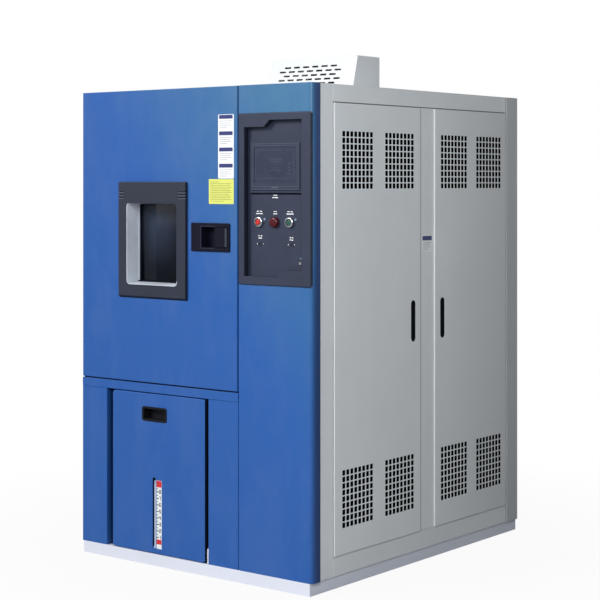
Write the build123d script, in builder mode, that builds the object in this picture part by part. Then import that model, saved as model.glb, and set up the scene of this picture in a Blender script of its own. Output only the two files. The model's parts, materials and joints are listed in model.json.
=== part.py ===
from build123d import *
import os

# Environmental test chamber: an insulated cabinet with a glazed door, a control column, a water drawer and
# two perforated side doors over the machine space. Millimetres, +Z up, origin at the middle of the base.
# Spans are measured from the cabinet's left side (x), its front face (y) and the floor (z).

# Driving dimensions of the cabinet
WIDTH = 1140.0
DEPTH = 1400.0
HEIGHT = 1800.0
PLINTH = 45.0
SHEET = 2.0
FACE = 52.0
REAR = DEPTH - SHEET
ROOF = HEIGHT - SHEET

# Front layout
DOOR_WIDTH = 795.0
DOOR_BOTTOM = 690.0
DOOR_THICK = 48.0
DOOR_GAP = 4.5
COLUMN_LEFT = 802.0
COLUMN_THICK = 47.0
CORNER = 20.0
CORNER_X = WIDTH - CORNER
PILLAR_TOP = 652.0
LEFT_PILLAR = 133.0
RIGHT_PILLAR = 657.0
DRAWER_LEFT = 169.0
DRAWER_RIGHT = 643.0

# Working space and the air plenum behind it
ROOM_X = (97.0, 697.0)
ROOM_Z = (820.0, 1670.0)
BAFFLE = 900.0
PLENUM_BACK = 1100.0
FOAM_BACK = 1200.0

# Window, latch and controls
WINDOW_X = (252.0, 509.0)
WINDOW_Z = (1063.0, 1370.0)
REVEAL_WALL = 2.5
BEZEL_X = (206.5, 553.5)
BEZEL_Z = (1008.0, 1451.0)
BEZEL_PROUD = 12.0
PLUG_BACK = 85.0
LATCH_X = (576.0, 763.0)
LATCH_Z = (1195.0, 1300.0)
PADDLE_AXIS = (740.0, -2.0)
PLATE = 18.0
BUTTON_Z = 1307.0
STOP_X = 886.0
LAMP_X = 959.0
START_X = 1027.0
KEY_AT = (1075.0, 1163.0)
KEY_RADIUS = 5.0
SOCKETS_X = (890.0, 1033.0)
SOCKET_Z = 1228.0
RING_RADIUS = 18.5
CAP_RADIUS = 10.5
RUNNING = 0.05
LAMP_RADIUS = 19.0

# Side doors
SIDE_FACE = WIDTH - 6.0
SIDE_Z = (117.0, 1733.0)
FRONT_LEAF = (131.0, 676.0)
REAR_LEAF = (776.0, 1304.0)
LEAF_THICK = 20.0
LEAF_GAP = 2.0
PIVOT_INSET = 6.0

# Fan axis, cable port and roof hood
FAN_AT = (414.0, 1005.0)
PORT_AT = (480.0, 1250.0)
HOOD_X = (185.0, 643.0)
HOOD_FRONT = 905.0
HOOD_LIP = 950.0
HOOD_BACK = 1105.0
HOOD_TOP = 1976.0

os.makedirs("parts", exist_ok=True)


def front_plane(y):
    """A plane facing forwards: sketch x runs from the left side and sketch y is the height."""
    return Plane(origin=(-WIDTH / 2, y - DEPTH / 2, 0), x_dir=(1, 0, 0), z_dir=(0, -1, 0))


def side_plane(x):
    """A plane facing right: sketch x runs from the front face and sketch y is the height."""
    return Plane(origin=(x - WIDTH / 2, -DEPTH / 2, 0), x_dir=(0, 1, 0), z_dir=(1, 0, 0))


def floor_plane(z):
    """A plane facing up: sketch x runs from the left side and sketch y from the front face."""
    return Plane(origin=(-WIDTH / 2, -DEPTH / 2, z), x_dir=(1, 0, 0), z_dir=(0, 0, 1))


def block(x, y, z, mode=Mode.ADD):
    """A block between the (low, high) spans x, y and z."""
    with Locations((sum(x) / 2 - WIDTH / 2, sum(y) / 2 - DEPTH / 2, sum(z) / 2)):
        Box(x[1] - x[0], y[1] - y[0], z[1] - z[0], mode=mode)


def rod(x, y, z, radius, mode=Mode.ADD):
    """A round rod along whichever of x, y and z is a (low, high) span."""
    ends = [v if isinstance(v, tuple) else (v, v) for v in (x, y, z)]
    lengths = [high - low for low, high in ends]
    axis = lengths.index(max(lengths))
    turn = ((0, 90, 0), (90, 0, 0), (0, 0, 0))[axis]
    middle = [(low + high) / 2 for low, high in ends]
    with Locations((middle[0] - WIDTH / 2, middle[1] - DEPTH / 2, middle[2])):
        Cylinder(radius, lengths[axis], rotation=turn, mode=mode)


def tube(x, y, z, wall=SHEET):
    """A rectangular tube, open at both ends of its longest side."""
    block(x, y, z)
    sides = [x, y, z]
    lengths = [high - low for low, high in sides]
    bore = [(low + wall, high - wall) for low, high in sides]
    longest = lengths.index(max(lengths))
    bore[longest] = sides[longest]
    block(*bore, mode=Mode.SUBTRACT)


def window(x, z, radius=0.0, mode=Mode.ADD):
    """A rectangle between two spans, with round corners, in the sketch being drawn."""
    with Locations((sum(x) / 2, sum(z) / 2)):
        if radius:
            RectangleRounded(x[1] - x[0], z[1] - z[0], radius, mode=mode)
        else:
            Rectangle(x[1] - x[0], z[1] - z[0], mode=mode)


def grown(span, margin):
    """A span with the margin added at both ends."""
    return (span[0] - margin, span[1] + margin)


def save(piece, name):
    """Labels a finished piece and writes its file."""
    piece.part.label = name
    export_step(piece.part, f"parts/{name}.step")


# Base plinth: box-section rails under a steel deck
RAIL = 60.0
DECK = 3.0
PLINTH_X = (6.0, WIDTH - 11.0)
CAP = 3.0
FIT = 0.2
with BuildPart() as base_plinth:
    for rail_y in ((0, RAIL), (DEPTH - RAIL, DEPTH)):
        tube(PLINTH_X, rail_y, (0, PLINTH - DECK))
        for cap_x in ((PLINTH_X[0], PLINTH_X[0] + CAP), (PLINTH_X[1] - CAP, PLINTH_X[1])):
            block(cap_x, grown(rail_y, -SHEET - FIT), grown((0, PLINTH - DECK), -SHEET - FIT))
    for rail_x in ((PLINTH_X[0], PLINTH_X[0] + RAIL), (540, 600), (PLINTH_X[1] - RAIL, PLINTH_X[1])):
        tube(rail_x, (RAIL + FIT, DEPTH - RAIL - FIT), (0, PLINTH - DECK - FIT))
    block(PLINTH_X, (0, DEPTH), (PLINTH - DECK, PLINTH))
save(base_plinth, "base_plinth")

# Right side frame: posts, mullion and rails round the two side doors, with a proud strip on the rear post
FRAME_X = (SIDE_FACE - 30, SIDE_FACE)
SEAM = 0.8
STRIP_X = (SIDE_FACE, SIDE_FACE + 4)
STRIP_Y = (1316.0, DEPTH)
LOW_RAIL = SIDE_Z[0] - LEAF_GAP
HIGH_RAIL = SIDE_Z[1] + LEAF_GAP
BAYS = (*grown(FRONT_LEAF, LEAF_GAP), *grown(REAR_LEAF, LEAF_GAP))
with BuildPart() as right_side_frame:
    tube(FRAME_X, (COLUMN_THICK, BAYS[0]), (PLINTH, ROOF))
    tube(FRAME_X, (BAYS[1], BAYS[2]), (LOW_RAIL + SEAM, HIGH_RAIL - SEAM))
    tube(FRAME_X, (BAYS[3], REAR), (PLINTH, ROOF))
    for rail_z in ((PLINTH, LOW_RAIL), (HIGH_RAIL, ROOF)):
        tube(FRAME_X, (BAYS[0] + SEAM, BAYS[3] - SEAM), rail_z)
    fillet(right_side_frame.edges().group_by(Axis.X)[-1], 1)
    block(STRIP_X, STRIP_Y, (PLINTH, HEIGHT))
    fillet(right_side_frame.edges().group_by(Axis.X)[-1].filter_by(Axis.Z).sort_by(Axis.Y)[0], 1.5)
save(right_side_frame, "right_side_frame")

# Left side sheet with the hole for the cable port
with BuildPart() as left_side_panel:
    block((0, SHEET), (FACE, REAR), (PLINTH, ROOF))
    rod((-1, SHEET + 1), PORT_AT[0], PORT_AT[1], 29, Mode.SUBTRACT)
save(left_side_panel, "left_side_panel")

# Rear sheet with two fields of air slots
with BuildPart() as rear_panel:
    with BuildSketch(front_plane(DEPTH)):
        window((0, SIDE_FACE), (PLINTH, ROOF))
        for field_x, field_z in ((400, 345), (400, 1450)):
            with Locations((field_x, field_z)):
                with GridLocations(110, 22, 4, 16):
                    SlotOverall(90, 8, mode=Mode.SUBTRACT)
    extrude(amount=SHEET)
save(rear_panel, "rear_panel")

# Roof sheet with the hole for the fan shaft
with BuildPart() as roof_panel:
    block((0, SIDE_FACE), (FACE, DEPTH), (ROOF, HEIGHT))
    rod(FAN_AT[0], FAN_AT[1], (ROOF - 1, HEIGHT + 1), 30, Mode.SUBTRACT)
save(roof_panel, "roof_panel")

# Roof hood over the fan motor, with rows of slots in its sloping front
HOOD_SHEET = 2.0
SLOT_PITCH = 49.0
SLOT_ROW = 18.0
SLOT_MIDDLE = 403.0
SLOT_SIZE = (35.0, 8.0)
FIRST_SLOT = HOOD_TOP - 38
with BuildPart() as roof_hood:
    with BuildSketch(side_plane(HOOD_X[0])):
        with BuildLine():
            Polyline(
                (HOOD_FRONT, HEIGHT),
                (HOOD_LIP, HOOD_TOP),
                (HOOD_BACK, HOOD_TOP),
                (HOOD_BACK, HEIGHT),
                close=True,
            )
        make_face()
    extrude(amount=HOOD_X[1] - HOOD_X[0])
    with BuildSketch(side_plane(HOOD_X[0] + HOOD_SHEET)):
        with BuildLine():
            Polyline(
                (HOOD_FRONT + HOOD_SHEET, HEIGHT),
                (HOOD_LIP + HOOD_SHEET / 2, HOOD_TOP - HOOD_SHEET),
                (HOOD_BACK - HOOD_SHEET, HOOD_TOP - HOOD_SHEET),
                (HOOD_BACK - HOOD_SHEET, HEIGHT),
                close=True,
            )
        make_face()
    extrude(amount=HOOD_X[1] - HOOD_X[0] - 2 * HOOD_SHEET, mode=Mode.SUBTRACT)
    with BuildSketch(front_plane(HOOD_BACK - 100)):
        for row in range(7):
            count = 7 if row % 2 else 6
            with Locations((SLOT_MIDDLE, FIRST_SLOT - row * SLOT_ROW)):
                with GridLocations(SLOT_PITCH, 1, count, 1):
                    SlotOverall(*SLOT_SIZE)
    extrude(amount=110, mode=Mode.SUBTRACT)
save(roof_hood, "roof_hood")

# Blue front column: a folded pan, open behind, with the well for the controls
WELL_X = (829.0, 1101.0)
WELL_Z = (1107.0, 1677.0)
COLUMN_EDGE = 3.0
with BuildPart() as front_column:
    with BuildSketch(floor_plane(PLINTH)) as column_plan:
        window((COLUMN_LEFT, WIDTH), (0, COLUMN_THICK))
        fillet(column_plan.vertices().group_by(Axis.Y)[0].sort_by(Axis.X)[-1], CORNER)
        fillet(column_plan.vertices().group_by(Axis.Y)[0].sort_by(Axis.X)[0], COLUMN_EDGE)
    extrude(amount=HEIGHT - PLINTH)
    with BuildSketch(floor_plane(PLINTH + SHEET)) as cavity_plan:
        window(grown((COLUMN_LEFT, WIDTH), -SHEET), (SHEET, COLUMN_THICK + 1))
        fillet(cavity_plan.vertices().group_by(Axis.Y)[0].sort_by(Axis.X)[-1], CORNER - SHEET)
    extrude(amount=HEIGHT - PLINTH - 2 * SHEET, mode=Mode.SUBTRACT)
    block(WELL_X, (-1, SHEET + 5), WELL_Z, Mode.SUBTRACT)
save(front_column, "front_column")

# Two blue pillars beside the drawer
with BuildPart() as front_pillars:
    tube((0, LEFT_PILLAR), (0, 50), (PLINTH, PILLAR_TOP))
    tube((RIGHT_PILLAR, 800), (0, 50), (PLINTH, PILLAR_TOP))
    outer = front_pillars.edges().filter_by(Axis.Z).group_by(Axis.Y)[0]
    fillet(outer, 1.5)
save(front_pillars, "front_pillars")

# Blue rail under the door
with BuildPart() as cross_rail:
    tube((0, 800), (0, 50), (PILLAR_TOP + 0.5, DOOR_BOTTOM - DOOR_GAP))
    fillet(cross_rail.edges().filter_by(Axis.X).group_by(Axis.Y)[0], 1.5)
save(cross_rail, "cross_rail")

# Inner frame: the partition beside the chamber, and the deck and beams that carry it
with BuildPart() as inner_frame:
    block((800, COLUMN_LEFT), (FACE, REAR - 2), (PLINTH, ROOF - 2))
    block((SHEET, 799.8), (FACE, REAR - 2), (DOOR_BOTTOM - 2, DOOR_BOTTOM))
    for beam in ((FACE, 84), (640, 672), (1360, 1392)):
        tube((SHEET, 799.8), beam, (652, DOOR_BOTTOM - 2))
save(inner_frame, "inner_frame")

# Foam slabs round the working space
FOAM_Y = (FACE + 5, FOAM_BACK)
with BuildPart() as chamber_insulation:
    block((SHEET, ROOM_X[0] - 2.5), FOAM_Y, (DOOR_BOTTOM, ROOF - 2))
    block((ROOM_X[1] + 2.5, 799), FOAM_Y, (DOOR_BOTTOM, ROOF - 2))
    block(grown(ROOM_X, 2), FOAM_Y, (ROOM_Z[1] + 2.5, ROOF - 2))
    block(grown(ROOM_X, 2), FOAM_Y, (DOOR_BOTTOM, ROOM_Z[0] - 2.5))
    block(grown(ROOM_X, 2), (PLENUM_BACK + 3, FOAM_BACK), grown(ROOM_Z, 2))
    rod((0, ROOM_X[0]), PORT_AT[0], PORT_AT[1], 29, Mode.SUBTRACT)
    rod(FAN_AT[0], FAN_AT[1], (ROOM_Z[1], ROOF), 30, Mode.SUBTRACT)
save(chamber_insulation, "chamber_insulation")

# Stainless inner liner, open to the front: floor, ceiling, two sides and a back sheet
LINER_Y = (FACE + 5, PLENUM_BACK + SHEET)
with BuildPart() as inner_liner:
    block(grown(ROOM_X, SHEET), LINER_Y, (ROOM_Z[0] - SHEET, ROOM_Z[0]))
    block(grown(ROOM_X, SHEET), LINER_Y, (ROOM_Z[1], ROOM_Z[1] + SHEET))
    block((ROOM_X[0] - SHEET, ROOM_X[0]), LINER_Y, grown(ROOM_Z, -FIT))
    block((ROOM_X[1], ROOM_X[1] + SHEET), LINER_Y, grown(ROOM_Z, -FIT))
    block(grown(ROOM_X, -FIT), (PLENUM_BACK, PLENUM_BACK + SHEET), grown(ROOM_Z, -FIT))
    rod((ROOM_X[0] - 3, ROOM_X[0] + 1), PORT_AT[0], PORT_AT[1], 29, Mode.SUBTRACT)
    rod(FAN_AT[0], FAN_AT[1], (ROOM_Z[1] - 1, ROOM_Z[1] + 3), 14, Mode.SUBTRACT)
save(inner_liner, "inner_liner")

# Throat frame: four strips that make the chamber's front face round the opening
THROAT_Y = (FACE, FACE + 4)
with BuildPart() as throat_frame:
    block((SHEET, 799.8), THROAT_Y, (DOOR_BOTTOM, ROOM_Z[0]))
    block((SHEET, 799.8), THROAT_Y, (ROOM_Z[1], ROOF - 2))
    for strip_x in ((SHEET, ROOM_X[0]), (ROOM_X[1], 799.8)):
        block(strip_x, THROAT_Y, grown(ROOM_Z, -0.2))
save(throat_frame, "throat_frame")

# Rubber gasket between the throat frame and the door
with BuildPart() as chamber_gasket:
    with BuildSketch(front_plane(FACE)):
        window(grown(ROOM_X, 27), grown(ROOM_Z, 27), 24)
        window(grown(ROOM_X, 13), grown(ROOM_Z, 13), 10, Mode.SUBTRACT)
    extrude(amount=FACE - DOOR_THICK - 0.5)
save(chamber_gasket, "chamber_gasket")

# Slotted shelf rails with the clips that carry the shelves
SHELF_HEIGHTS = (1090.0, 1390.0)
RAIL_Y = ((200, 225), (760, 785))
SHELF_RAIL = 8.0
CLIP_END = 26.0
with BuildPart() as shelf_rails:
    for rail_y in RAIL_Y:
        for wall, inward in ((ROOM_X[0], 1), (ROOM_X[1], -1)):
            rail_x = tuple(sorted((wall, wall + SHELF_RAIL * inward)))
            clip_x = tuple(sorted((wall + (SHELF_RAIL + FIT) * inward, wall + CLIP_END * inward)))
            block(rail_x, rail_y, (860, 1630))
            for step in range(15):
                notch = 885 + 50 * step
                block(rail_x, (rail_y[0] + 8, rail_y[0] + 17), (notch - 3, notch + 3), Mode.SUBTRACT)
            for height in SHELF_HEIGHTS:
                block(clip_x, rail_y, (height - 16, height - 4))
save(shelf_rails, "shelf_rails")

# Two loose shelves of welded bars
with BuildPart() as shelves:
    for height in SHELF_HEIGHTS:
        for bar_y in ((130, 138), (491, 499), (852, 860)):
            block((107, 687), bar_y, (height - 4, height + 4))
        for bar_x in ((107, 115), (679, 687)):
            block(bar_x, (130, 860), (height - 4, height + 4))
        for step in range(18):
            left = 139 + step * 30
            block((left, left + 4), (130, 860), (height, height + 4))
save(shelves, "shelves")

# Air baffle with the outlet slots at the top and the return slots at the bottom
with BuildPart() as air_baffle:
    with BuildSketch(front_plane(BAFFLE + 2)):
        window(ROOM_X, (850, 1650))
        for grille_z in (920, 1580):
            with Locations((sum(ROOM_X) / 2, grille_z)):
                with GridLocations(24, 1, 22, 1):
                    SlotOverall(80, 12, rotation=90, mode=Mode.SUBTRACT)
    extrude(amount=2)
save(air_baffle, "air_baffle")

# Circulation fan: a radial impeller on its long shaft
FAN_PLANE = floor_plane(1590)
with BuildPart() as fan_impeller:
    rod(FAN_AT[0], FAN_AT[1], (1585, 1850), 8)
    rod(FAN_AT[0], FAN_AT[1], (1588, 1646), 22)
    rod(FAN_AT[0], FAN_AT[1], (1640, 1643), 86)
    with BuildSketch(FAN_PLANE):
        with Locations(FAN_AT):
            with PolarLocations(66, 16):
                Rectangle(34, 2, rotation=35)
    extrude(amount=52)
    with BuildSketch(FAN_PLANE):
        with Locations(FAN_AT):
            Circle(84)
            Circle(60, mode=Mode.SUBTRACT)
    extrude(amount=2)
save(fan_impeller, "fan_impeller")

# Fan motor on the roof, under the hood
with BuildPart() as fan_motor:
    block(grown((FAN_AT[0], FAN_AT[0]), 75), grown((FAN_AT[1], FAN_AT[1]), 72), (HEIGHT, HEIGHT + 6))
    rod(FAN_AT[0], FAN_AT[1], (HEIGHT + 6, 1918), 52)
    rod(FAN_AT[0], FAN_AT[1], (1918, 1926), 46)
    block((FAN_AT[0] + 40, FAN_AT[0] + 82), grown((FAN_AT[1], FAN_AT[1]), 30), (1830, 1890))
    with BuildSketch(floor_plane(HEIGHT + 16)):
        with Locations(FAN_AT):
            with PolarLocations(54, 20):
                Rectangle(8, 3)
    extrude(amount=90)
    rod(FAN_AT[0], FAN_AT[1], (HEIGHT - 1, 1852), 8.05, Mode.SUBTRACT)
save(fan_motor, "fan_motor")

# Heater: one bent tube across the plenum
HEATER_TURNS = 5
with BuildPart() as heater_coil:
    with BuildLine(front_plane(980)):
        zigzag = [(ROOM_X[0], 1520)]
        for turn in range(HEATER_TURNS):
            zigzag.append((180 + 100 * turn, 1520 if turn % 2 == 0 else 1400))
            zigzag.append((180 + 100 * turn, 1400 if turn % 2 == 0 else 1520))
        zigzag.append((ROOM_X[1], zigzag[-1][1]))
        heater_path = FilletPolyline(*zigzag, radius=25)
    with BuildSketch(Plane(origin=heater_path @ 0, z_dir=heater_path % 0)):
        Circle(5)
    sweep()
save(heater_coil, "heater_coil")

# Evaporator: a pack of fins on copper tubes
with BuildPart() as evaporator_coil:
    for step in range(26):
        left = 140 + step * 20
        block((left, left + 2), (950, 1050), (1020, 1280))
    for tube_y in (975, 1025):
        for tube_z in (1045, 1097, 1150, 1202, 1255):
            rod(ROOM_X, tube_y, tube_z, 6)
save(evaporator_coil, "evaporator_coil")

# Cable port: a sleeve through the left wall, and its plug
with BuildPart() as cable_port_sleeve:
    rod((-4, ROOM_X[0] + 2), PORT_AT[0], PORT_AT[1], 29)
    rod((-4, 0), PORT_AT[0], PORT_AT[1], 38)
    rod((-5, ROOM_X[0] + 3), PORT_AT[0], PORT_AT[1], 25, Mode.SUBTRACT)
save(cable_port_sleeve, "cable_port_sleeve")

with BuildPart() as cable_port_plug:
    rod((-4.2, ROOM_X[0]), PORT_AT[0], PORT_AT[1], 24.92)
    rod((-13, -4.2), PORT_AT[0], PORT_AT[1], 34)
    fillet(cable_port_plug.edges().filter_by(GeomType.CIRCLE).sort_by(Axis.X)[0], 3)
save(cable_port_plug, "cable_port_plug")

# Compressor: a domed can on a base plate with rubber feet
COMPRESSOR_AT = (250.0, 820.0)
COMPRESSOR_FEET = 105.0
with BuildPart() as compressor:
    block(grown((COMPRESSOR_AT[0],) * 2, 130), grown((COMPRESSOR_AT[1],) * 2, 130), (65, 71))
    for side_x in (-COMPRESSOR_FEET, COMPRESSOR_FEET):
        for side_y in (-COMPRESSOR_FEET, COMPRESSOR_FEET):
            rod(COMPRESSOR_AT[0] + side_x, COMPRESSOR_AT[1] + side_y, (PLINTH, 65), 14)
    rod(COMPRESSOR_AT[0], COMPRESSOR_AT[1], (71, 300), 88)
    fillet(compressor.edges().filter_by(GeomType.CIRCLE).sort_by(Axis.Z)[-1], 40)
    rod((COMPRESSOR_AT[0] + 80, COMPRESSOR_AT[0] + 130), COMPRESSOR_AT[1], 230, 9)
save(compressor, "compressor")

# Condenser: a fin pack with its end tubes
CONDENSER_X = (150.0, 650.0)
CONDENSER_Z = (90.0, 600.0)
FAN_HUB = (400.0, 345.0)
with BuildPart() as condenser_coil:
    for step in range(26):
        left = CONDENSER_X[0] + step * 19.5
        block((left, left + 2), (1290, 1350), CONDENSER_Z)
    for tube_z in range(120, 600, 60):
        rod(CONDENSER_X, 1320, tube_z, 6)
    block(CONDENSER_X, (1290, 1350), (PLINTH, CONDENSER_Z[0]))
save(condenser_coil, "condenser_coil")

# Condenser shroud: the plate and ring round the fan, with the bearing arm
with BuildPart() as condenser_shroud:
    with BuildSketch(front_plane(1290)):
        window(CONDENSER_X, (PLINTH, CONDENSER_Z[1]))
        with Locations(FAN_HUB):
            Circle(205, mode=Mode.SUBTRACT)
    extrude(amount=3)
    with BuildSketch(front_plane(1290)):
        with Locations(FAN_HUB):
            Circle(209)
            Circle(205, mode=Mode.SUBTRACT)
    extrude(amount=60)
    block((FAN_HUB[0] - 215, FAN_HUB[0] + 215), (1226, 1230), grown((FAN_HUB[1],) * 2, 12))
    rod(FAN_HUB[0], (1170, 1226), FAN_HUB[1], 45)
    rod(FAN_HUB[0], (1169, 1231), FAN_HUB[1], 6.05, Mode.SUBTRACT)
    for arm in ((FAN_HUB[0] - 215, FAN_HUB[0] - 205), (FAN_HUB[0] + 205, FAN_HUB[0] + 215)):
        block(arm, (1230, 1287), grown((FAN_HUB[1],) * 2, 12))
save(condenser_shroud, "condenser_shroud")

# Condenser fan: a hub and five pitched blades
blade_plane = front_plane(1255).shift_origin(front_plane(1255).from_local_coords((*FAN_HUB, 0)))
with BuildPart() as condenser_fan:
    rod(FAN_HUB[0], (1180, 1275), FAN_HUB[1], 6)
    rod(FAN_HUB[0], (1234, 1275), FAN_HUB[1], 35)
    with Locations(blade_plane):
        with PolarLocations(110, 5):
            Box(160, 62, 3, rotation=(28, 0, 0))
save(condenser_fan, "condenser_fan")

# Electrical plate with its rails, breakers and contactors
with BuildPart() as electrical_plate:
    block((COLUMN_LEFT, 806), (300, 1200), (420, 1640))
    for rail_z in (560, 840, 1120, 1400):
        block((806, 813), (340, 1160), (rail_z - 17, rail_z + 17))
        for step in range(9):
            left = 360 + step * 86
            deep = 72 if step % 3 else 92
            block((813, 813 + deep), (left, left + 68), (rail_z - 42, rail_z + 42))
    block((806, 850), (330, 380), (460, 530))
save(electrical_plate, "electrical_plate")

# Door hinges: the cabinet halves carry the pins and the door halves turn on them
HINGE_HEIGHTS = (850.0, 1245.0, 1640.0)
HINGE_AT = (-7.0, 50.0)
with BuildPart() as cabinet_hinges:
    for height in HINGE_HEIGHTS:
        rod(HINGE_AT[0], HINGE_AT[1], (height - 45, height - 1), 6)
        rod(HINGE_AT[0], HINGE_AT[1], (height - 1, height + 42), 4)
        block((-3, 0), (HINGE_AT[1] + 2, 92), (height - 45, height - 1))
save(cabinet_hinges, "cabinet_hinges")

with BuildPart() as door_hinges:
    for height in HINGE_HEIGHTS:
        rod(HINGE_AT[0], HINGE_AT[1], (height - 0.5, height + 46), 6)
        block((-3, 0), (8, HINGE_AT[1] - 2), (height - 0.5, height + 46))
        rod(HINGE_AT[0], HINGE_AT[1], (height - 2, height + 43), 4.05, Mode.SUBTRACT)
save(door_hinges, "door_hinges")

# Door skin: a blue folded pan, open behind
DOOR_X = (0.0, DOOR_WIDTH)
DOOR_Z = (DOOR_BOTTOM, HEIGHT)
REVEAL_X = grown(WINDOW_X, REVEAL_WALL)
REVEAL_Z = grown(WINDOW_Z, REVEAL_WALL)
REVEAL_RADIUS = 16.0
TONGUE_Y = (19.0, 31.0)
TONGUE_Z = (1238.0, 1258.0)
with BuildPart() as door_skin:
    block(DOOR_X, (0, DOOR_THICK), DOOR_Z)
    fillet(door_skin.edges().group_by(Axis.Y)[0], 3)
    block(grown(DOOR_X, -3), (3, DOOR_THICK + 1), grown(DOOR_Z, -3), Mode.SUBTRACT)
    with BuildSketch(front_plane(4)):
        window(REVEAL_X, REVEAL_Z, REVEAL_RADIUS)
        window((616, 761), (1204, 1291))
    extrude(amount=5, mode=Mode.SUBTRACT)
    block((DOOR_WIDTH - 4, DOOR_WIDTH + 1), grown(TONGUE_Y, 0.3), grown(TONGUE_Z, 0.3), Mode.SUBTRACT)
save(door_skin, "door_skin")

# Door foam, filling the skin and the plug
PLUG_X = grown(ROOM_X, -7)
PLUG_Z = grown(ROOM_Z, -6)
PANEL_FRONT = DOOR_THICK - SHEET
with BuildPart() as door_insulation:
    block(grown(DOOR_X, -3), (3, PANEL_FRONT), grown(DOOR_Z, -3))
    block(grown(PLUG_X, -2), (PANEL_FRONT, PLUG_BACK - 2), grown(PLUG_Z, -2))
    with BuildSketch(front_plane(PLUG_BACK)):
        window(REVEAL_X, REVEAL_Z, REVEAL_RADIUS)
    extrude(amount=PLUG_BACK, mode=Mode.SUBTRACT)
    block((616, 761), (2, 36), (1204, 1291), Mode.SUBTRACT)
    block((760, DOOR_WIDTH), (15, 36), (1230, 1266), Mode.SUBTRACT)
save(door_insulation, "door_insulation")

# Stainless inner panel with the hollow plug that enters the throat
with BuildPart() as door_inner_panel:
    block(grown(DOOR_X, -3), (PANEL_FRONT, DOOR_THICK), grown(DOOR_Z, -3))
    block(PLUG_X, (DOOR_THICK, PLUG_BACK), PLUG_Z)
    block(grown(PLUG_X, -2), (PANEL_FRONT - 1, PLUG_BACK - 2), grown(PLUG_Z, -2), Mode.SUBTRACT)
    with BuildSketch(front_plane(PLUG_BACK + 1)):
        window(REVEAL_X, REVEAL_Z, REVEAL_RADIUS)
    extrude(amount=10, mode=Mode.SUBTRACT)
save(door_inner_panel, "door_inner_panel")

# Window bezel: a slate frame standing proud of the door, sloping at its foot, with grooves at both sides
BEZEL_SLOPE = 9.0
GROOVE_DEEP = 5.0
GROOVE_HIGH = 6.0
with BuildPart() as window_bezel:
    with BuildSketch(side_plane(BEZEL_X[0])):
        with BuildLine():
            Polyline(
                (0, BEZEL_Z[0]),
                (-BEZEL_PROUD, BEZEL_Z[0] + BEZEL_SLOPE),
                (-BEZEL_PROUD, BEZEL_Z[1]),
                (0, BEZEL_Z[1]),
                close=True,
            )
        make_face()
    extrude(amount=BEZEL_X[1] - BEZEL_X[0])
    fillet(window_bezel.edges().filter_by(Axis.Y), 5)
    fillet(window_bezel.edges().filter_by(Axis.Z).group_by(Axis.Y)[0], 3)
    with BuildSketch(front_plane(1)):
        window(REVEAL_X, REVEAL_Z, REVEAL_RADIUS)
    extrude(amount=BEZEL_PROUD + 2, mode=Mode.SUBTRACT)
    for groove_z in (1390, 1401, 1412):
        for groove_x in ((BEZEL_X[0] - 1, 236), (514, BEZEL_X[1] + 1)):
            groove_y = (-BEZEL_PROUD - 1, -BEZEL_PROUD + GROOVE_DEEP)
            block(groove_x, groove_y, grown((groove_z, groove_z), GROOVE_HIGH / 2), Mode.SUBTRACT)
save(window_bezel, "window_bezel")

# Window reveal: a pale sleeve through the door with a sloping sill, and the spacer ring between the panes
GLASS_FRONT = 70.0
PANE = 5.0
SPACER_BACK = PLUG_BACK - 1 - PANE
SLEEVE_FRONT = -BEZEL_PROUD + 0.5
SILL_RISE = 9.0
with BuildPart() as reveal_opening:
    with BuildSketch(front_plane(GLASS_FRONT)):
        window(WINDOW_X, WINDOW_Z, REVEAL_RADIUS - REVEAL_WALL)
    extrude(amount=GLASS_FRONT - SLEEVE_FRONT)
    with BuildSketch(side_plane(WINDOW_X[0])):
        with BuildLine():
            Polyline(
                (SLEEVE_FRONT - 1, WINDOW_Z[0] - 1),
                (SLEEVE_FRONT - 1, WINDOW_Z[0]),
                (GLASS_FRONT + 1, WINDOW_Z[0] + SILL_RISE),
                (GLASS_FRONT + 1, WINDOW_Z[0] - 1),
                close=True,
            )
        make_face()
    extrude(amount=WINDOW_X[1] - WINDOW_X[0], mode=Mode.SUBTRACT)
with BuildPart() as window_reveal:
    with BuildSketch(front_plane(GLASS_FRONT)):
        window(REVEAL_X, REVEAL_Z, REVEAL_RADIUS)
    extrude(amount=GLASS_FRONT - SLEEVE_FRONT)
    add(reveal_opening.part, mode=Mode.SUBTRACT)
    with BuildSketch(front_plane(SPACER_BACK)):
        window(REVEAL_X, REVEAL_Z, REVEAL_RADIUS)
        window(grown(WINDOW_X, -8), grown(WINDOW_Z, -8), 6, Mode.SUBTRACT)
    extrude(amount=SPACER_BACK - GLASS_FRONT - PANE)
save(window_reveal, "window_reveal")

# Two window panes
with BuildPart() as window_glass:
    for pane in (GLASS_FRONT + PANE, PLUG_BACK - 1):
        with BuildSketch(front_plane(pane)):
            window(REVEAL_X, REVEAL_Z, REVEAL_RADIUS)
        extrude(amount=PANE)
save(window_glass, "window_glass")

# Latch housing: a black plate with a finger pocket and the seat of the paddle
POCKET_X = (628.0, 754.0)
POCKET_Z = (1210.0, 1285.0)
FINGER_X = (628.0, 706.0)
LATCH_PROUD = 6.0
with BuildPart() as latch_housing:
    with BuildSketch(front_plane(0)):
        window(LATCH_X, LATCH_Z, 5)
    extrude(amount=LATCH_PROUD)
    fillet(latch_housing.edges().group_by(Axis.Y)[0], 2)
    block((620, 759), (0, 14), (1205, 1290))
    block((620, 712), (14, 34), (1205, 1290))
    block(POCKET_X, (-LATCH_PROUD - 1, 10), POCKET_Z, Mode.SUBTRACT)
    block(FINGER_X, (9, 29), POCKET_Z, Mode.SUBTRACT)
    rod(*PADDLE_AXIS, (1206, 1289), 2.55, Mode.SUBTRACT)
save(latch_housing, "latch_housing")

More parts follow.
